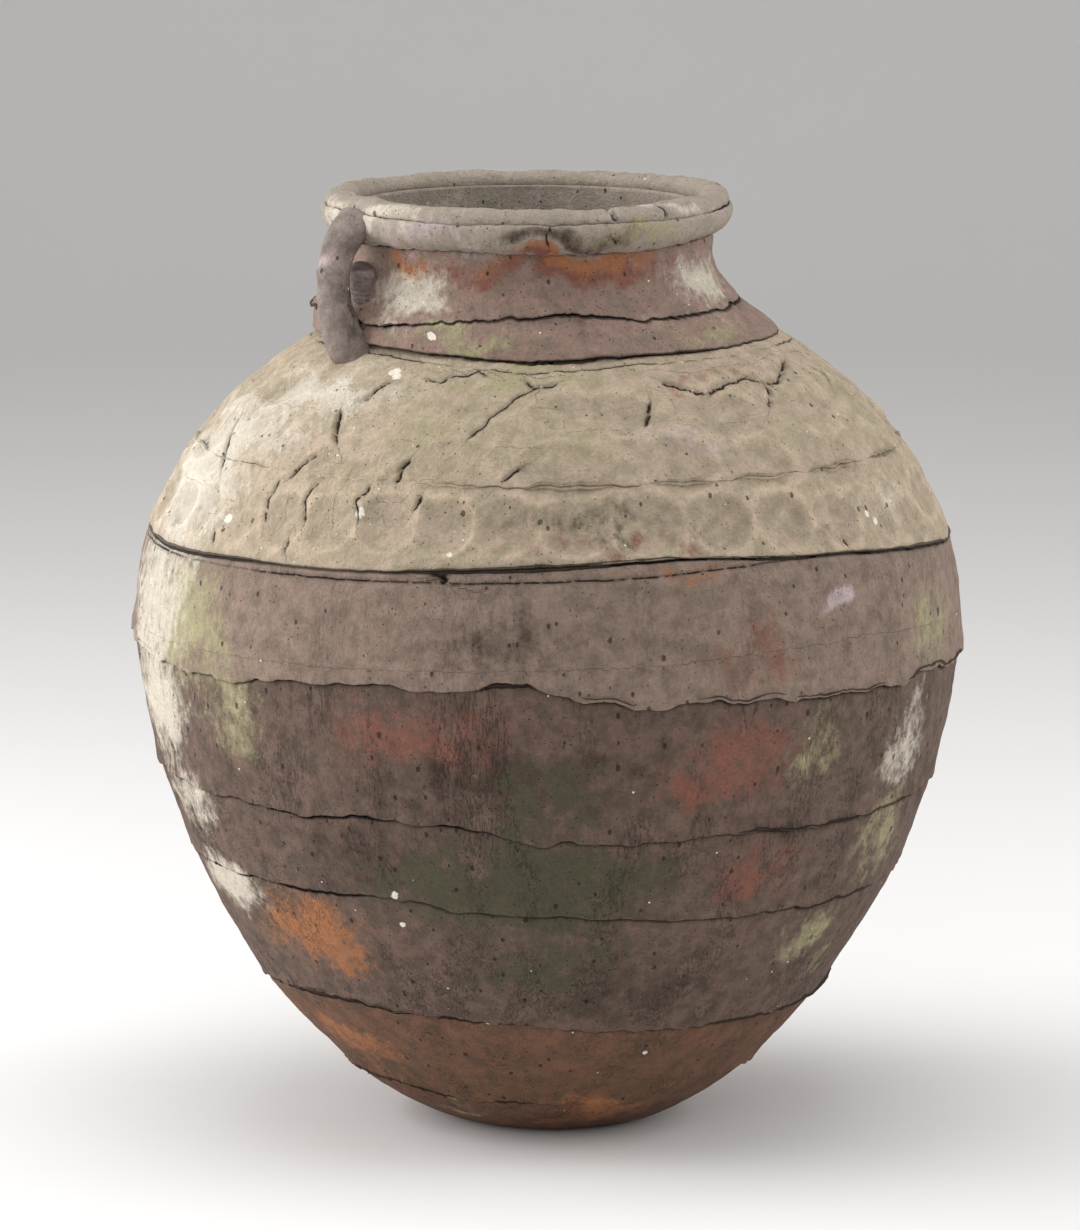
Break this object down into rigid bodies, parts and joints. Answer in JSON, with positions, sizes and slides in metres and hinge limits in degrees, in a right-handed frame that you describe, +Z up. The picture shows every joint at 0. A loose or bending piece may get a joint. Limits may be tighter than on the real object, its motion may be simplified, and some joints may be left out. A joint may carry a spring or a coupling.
{
  "type": "storage jar",
  "caption": "Big-bellied coil-built stoneware storage jar with a dented shoulder, short neck, rolled rim and a lug, weathered brown and grey.",
  "frame": {"origin": "centre of the foot, on the surface the jar stands on", "axes": "+Z up along the body, -Y is the front, with the lug to the left of it"},
  "size_m": [0.54, 0.54, 0.606],
  "materials": {
    "foot_clay": "unglazed stoneware, orange-brown and ochre, worn",
    "flank_clay": "unglazed stoneware, dark umber with red fire marks, pitted",
    "belly_clay": "unglazed stoneware, umber and khaki with red-brown patches",
    "shoulder_clay": "unglazed stoneware, buff-grey with lichen green, gritty",
    "neck_clay": "unglazed stoneware, mauve-brown, gritty",
    "rim_clay": "unglazed stoneware, grey-buff with lichen",
    "lug_clay": "unglazed stoneware, purple-grey"
  },
  "bodies": {
    "root": {"base_bowl": "foot_clay", "foot_course": "foot_clay", "lower_course": "flank_clay", "middle_course": "flank_clay", "wall_course": "flank_clay", "belly_course": "belly_clay", "shoulder_lower_course": "shoulder_clay", "shoulder_upper_course": "shoulder_clay", "neck_root": "neck_clay", "neck_collar": "neck_clay", "rim_roll": "rim_clay", "lip_roll": "rim_clay", "lug_strap": "lug_clay", "lug_stump": "lug_clay"}
  },
  "joints": []
}
